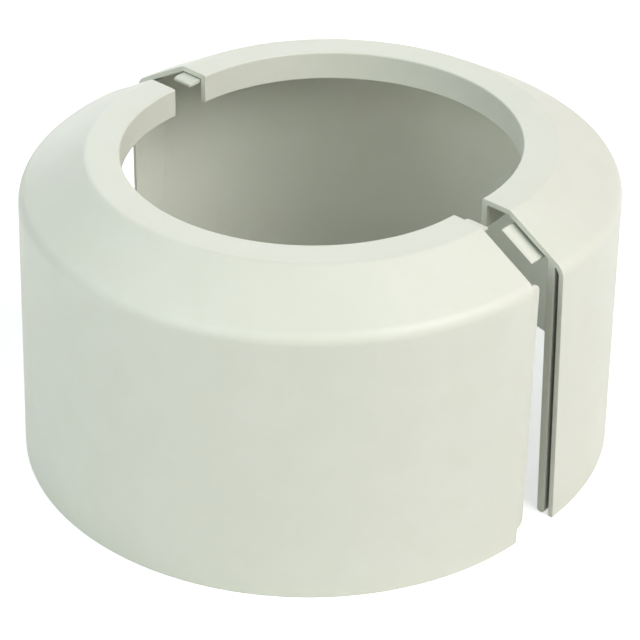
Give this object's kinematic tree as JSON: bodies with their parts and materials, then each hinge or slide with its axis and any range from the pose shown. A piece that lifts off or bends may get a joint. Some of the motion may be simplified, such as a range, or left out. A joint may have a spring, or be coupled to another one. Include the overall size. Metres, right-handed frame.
{
  "type": "pipe rosette",
  "caption": "Split plastic rosette in two like halves: bore collar, flat land, cone and flared wall, joined by alignment tabs and a tongue-and-groove seam.",
  "frame": {"origin": "centre of the base plane, halfway between the two halves as they stand apart", "axes": "+Z along the pipe, from the base to the collar; +Y square to the split, from the front half to the rear half; +X along the split"},
  "size_m": [0.174, 0.1868, 0.098],
  "materials": {
    "moulded_plastic": "satin off-white moulded plastic, in its own colour all through"
  },
  "bodies": {
    "rear_half": {"rear_half": "moulded_plastic"},
    "front_half": {"front_half": "moulded_plastic"}
  },
  "joints": [
    {"name": "close", "type": "slide", "parent": "rear_half", "child": "front_half", "axis": [0, 1, 0], "range_m": [-0.048, 0.0128]}
  ]
}
